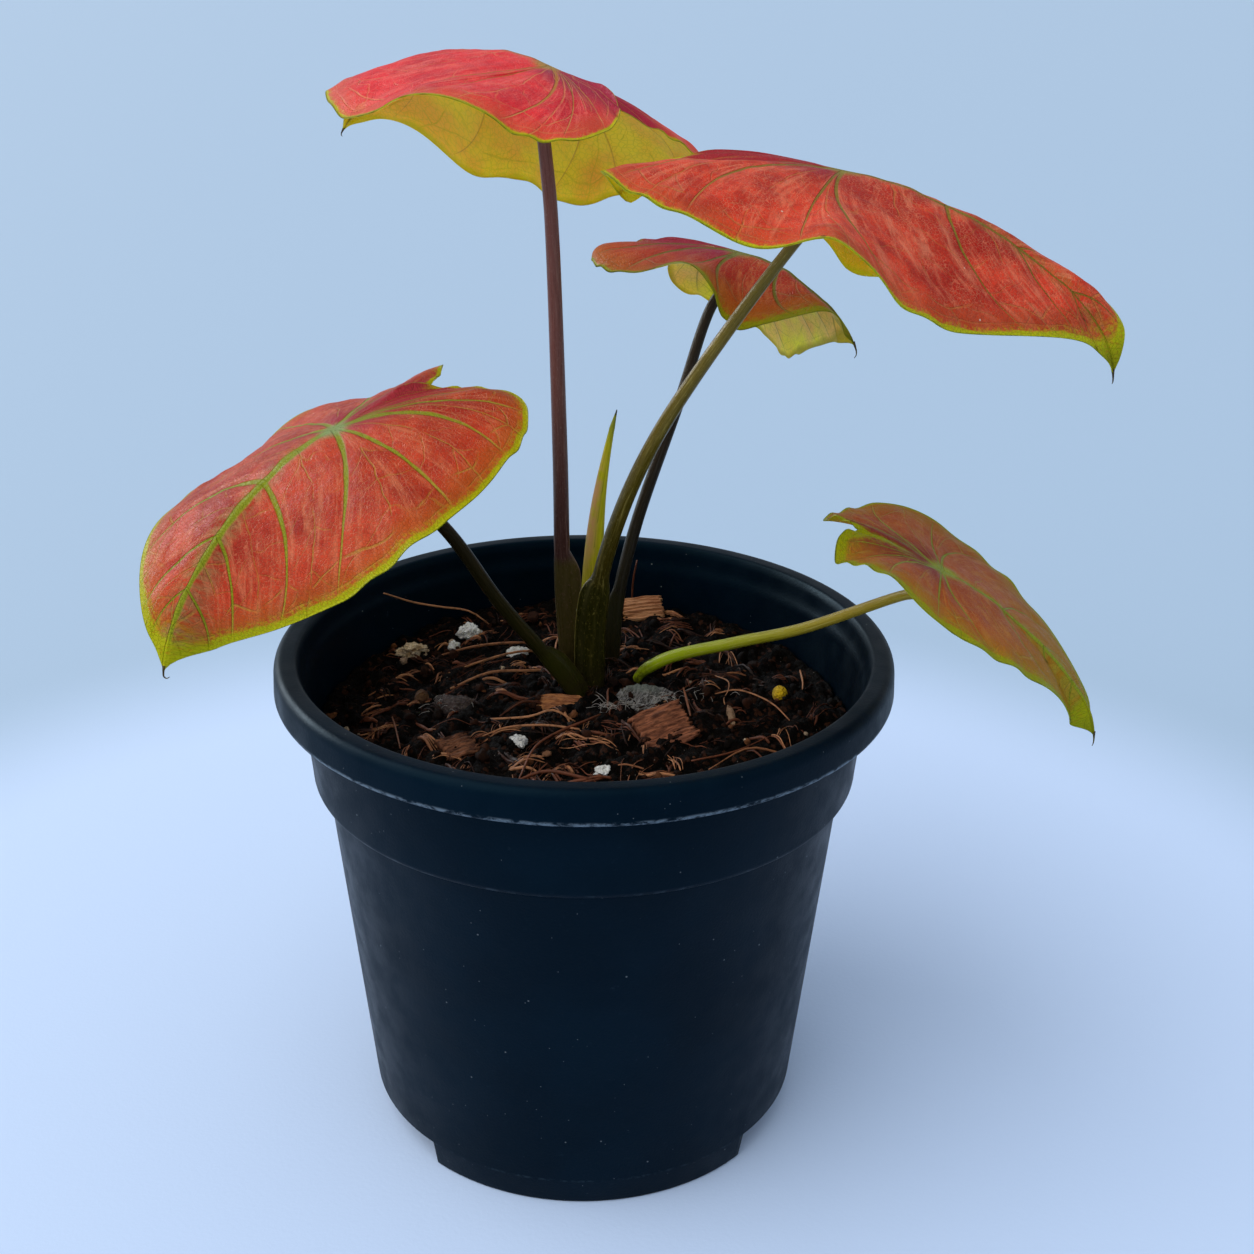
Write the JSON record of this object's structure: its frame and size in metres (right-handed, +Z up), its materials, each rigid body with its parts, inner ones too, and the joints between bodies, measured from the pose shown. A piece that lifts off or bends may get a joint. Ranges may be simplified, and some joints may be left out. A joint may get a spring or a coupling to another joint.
{
  "type": "potted dwarf caladium",
  "caption": "Young dwarf caladium with red heart-shaped leaves on sheathed stalks, growing from potting mix in a dark plastic nursery pot.",
  "frame": {"origin": "centre of the pot's base, on the surface it stands on", "axes": "+Z up along the pot's axis; the pot's two feet face -Y (front) and +Y, and its drain arches face +X and -X"},
  "size_m": [0.2238, 0.1549, 0.2672],
  "materials": {
    "pot_plastic": "satin moulded plastic, near-black blue, lightly scuffed",
    "potting_mix": "damp coir and bark crumbs, matte",
    "tuber_skin": "dull corky skin",
    "leaf_red": "satin leaf, red between lime veins and edge",
    "leaf_pink_red": "satin leaf, bright pink-red, golden-olive below",
    "leaf_dull_red": "satin leaf, dull red, lime-yellow below",
    "leaf_coral": "satin leaf, coral going to tan, green edge",
    "stalk_dark": "smooth dark olive-brown stalk",
    "stalk_purple": "smooth purple-brown stalk",
    "stalk_olive": "smooth olive stalk",
    "stalk_lime": "smooth lime to olive stalk",
    "spear_lime": "furled young leaf, lime yellow with a pink flush",
    "bark_tan": "dry fibrous wood",
    "bark_brown": "fibrous bark",
    "leaf_litter": "dry grey skeleton of an old leaf",
    "perlite": "chalky white expanded grain",
    "feed_coat": "smooth yellow coating"
  },
  "bodies": {
    "root": {"pot": "pot_plastic", "soil": "potting_mix", "tuber": "tuber_skin", "blade_left": "leaf_red", "blade_top": "leaf_pink_red", "blade_right": "leaf_red", "blade_back": "leaf_dull_red", "blade_low": "leaf_coral", "stalk_left": "stalk_dark", "stalk_top": "stalk_purple", "stalk_right": "stalk_olive", "stalk_back": "stalk_dark", "stalk_low": "stalk_lime", "spear": "spear_lime", "wood_chip": "bark_tan", "bark_chip_front": "bark_brown", "bark_chip_middle": "bark_tan", "bark_chip_left": "bark_brown", "dead_leaf": "leaf_litter", "fibre_lump": "leaf_litter", "perlite_back": "perlite", "perlite_small": "perlite", "perlite_left": "perlite", "perlite_crown": "perlite", "perlite_front": "perlite", "perlite_near": "perlite", "bark_pellet": "bark_tan", "husk": "bark_tan", "feed_prill": "feed_coat"}
  },
  "joints": []
}
